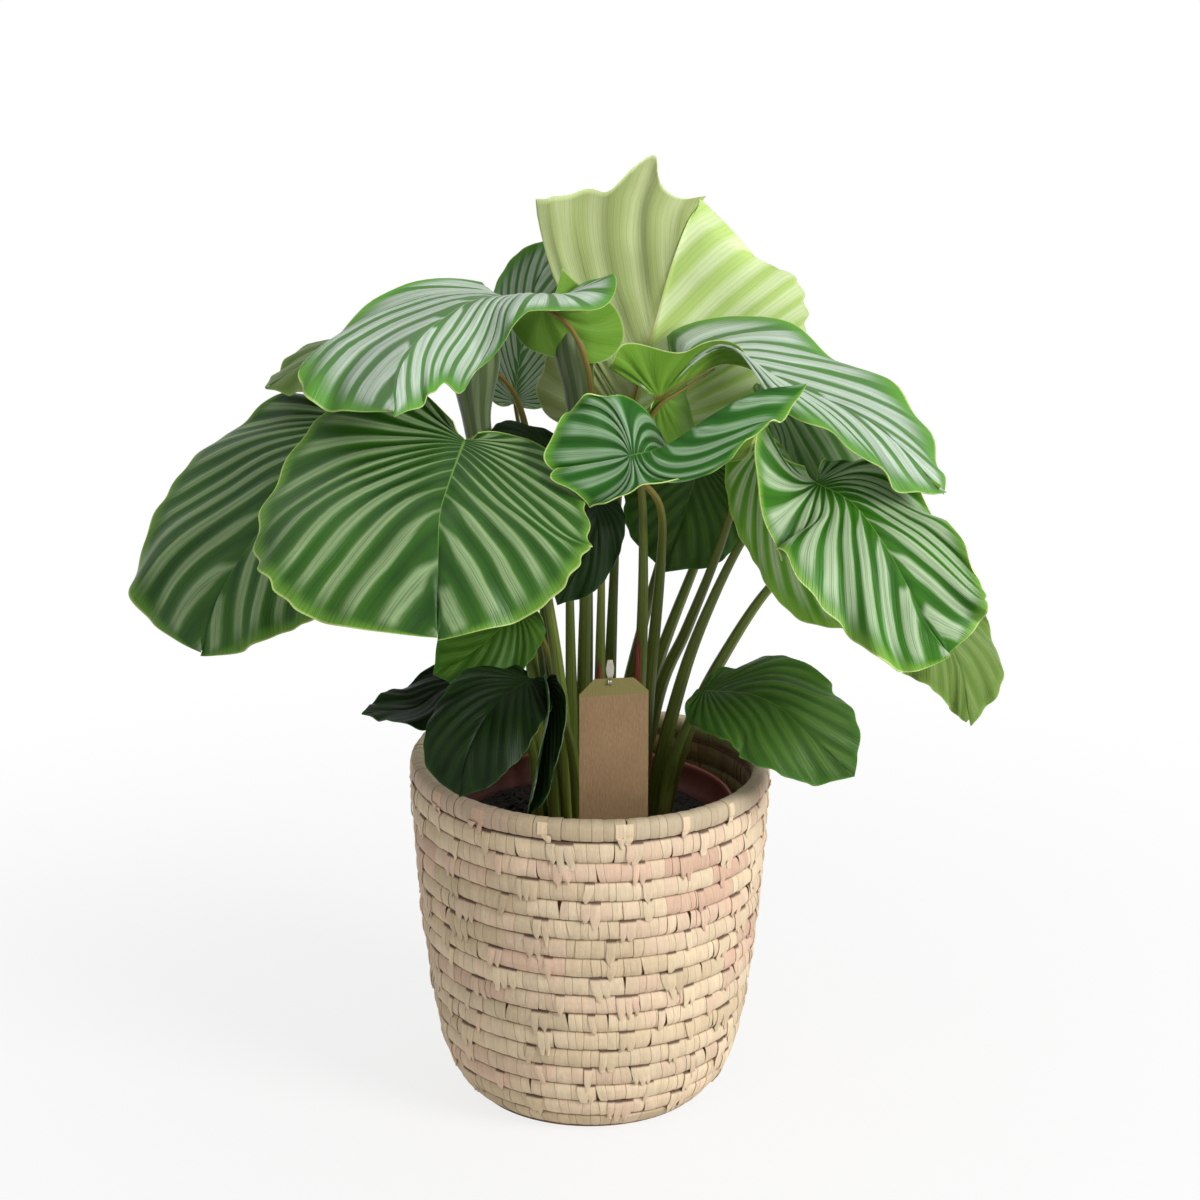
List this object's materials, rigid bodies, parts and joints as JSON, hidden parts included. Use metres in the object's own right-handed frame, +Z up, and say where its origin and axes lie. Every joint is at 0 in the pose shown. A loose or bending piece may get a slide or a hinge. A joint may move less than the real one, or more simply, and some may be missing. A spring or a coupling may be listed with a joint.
{
  "type": "potted prayer plant in a basket",
  "caption": "Leafy prayer plant with striped, rippled leaves on tall stalks, in a plastic grower's pot that stands inside a coiled straw basket, with a blank card tag.",
  "frame": {"origin": "centre of the basket's flat underside, on the surface it stands on", "axes": "+Z up along the basket's axis, -Y towards the side that the tag faces, +X to the right when looking along +Y"},
  "size_m": [0.6217, 0.3434, 0.6574],
  "materials": {
    "straw_coil": "matte",
    "pot_plastic": "satin",
    "potting_soil": "matte",
    "kraft_card": "matte",
    "peg_wood": "matte",
    "leaf_green": "satin",
    "leaf_pale": "satin",
    "stalk_green": "satin",
    "rolled_leaf_green": "satin",
    "dry_husk": "matte"
  },
  "bodies": {
    "root": {"basket": "straw_coil", "dry_husk_short": "dry_husk", "dry_husk_tall": "dry_husk", "leaf_back_left": "leaf_green", "leaf_back_upright": "leaf_green", "leaf_front_curled": "leaf_green", "leaf_front_round": "leaf_green", "leaf_inner_back": "leaf_green", "leaf_inner_front": "leaf_green", "leaf_inner_left": "leaf_green", "leaf_left_outer": "leaf_green", "leaf_low_folded": "leaf_green", "leaf_low_front_left": "leaf_green", "leaf_low_left": "leaf_green", "leaf_low_right": "leaf_green", "leaf_right_back": "leaf_green", "leaf_right_behind": "leaf_green", "leaf_right_front": "leaf_green", "leaf_right_middle": "leaf_green", "leaf_top_pale": "leaf_pale", "leaf_under_front": "leaf_green", "leaf_upper_left": "leaf_green", "leaf_upper_right": "leaf_green", "nursery_pot": "pot_plastic", "rolled_leaf_centre": "rolled_leaf_green", "rolled_leaf_left": "rolled_leaf_green", "soil": "potting_soil", "stem_back_left": "stalk_green", "stem_back_upright": "stalk_green", "stem_front_curled": "stalk_green", "stem_front_round": "stalk_green", "stem_inner_back": "stalk_green", "stem_inner_front": "stalk_green", "stem_inner_left": "stalk_green", "stem_left_outer": "stalk_green", "stem_low_folded": "stalk_green", "stem_low_front_left": "stalk_green", "stem_low_left": "stalk_green", "stem_low_right": "stalk_green", "stem_right_back": "stalk_green", "stem_right_behind": "stalk_green", "stem_right_front": "stalk_green", "stem_right_middle": "stalk_green", "stem_top_pale": "stalk_green", "stem_under_front": "stalk_green", "stem_upper_left": "stalk_green", "stem_upper_right": "stalk_green", "tag": "kraft_card", "tag_peg": "peg_wood"}
  },
  "joints": []
}
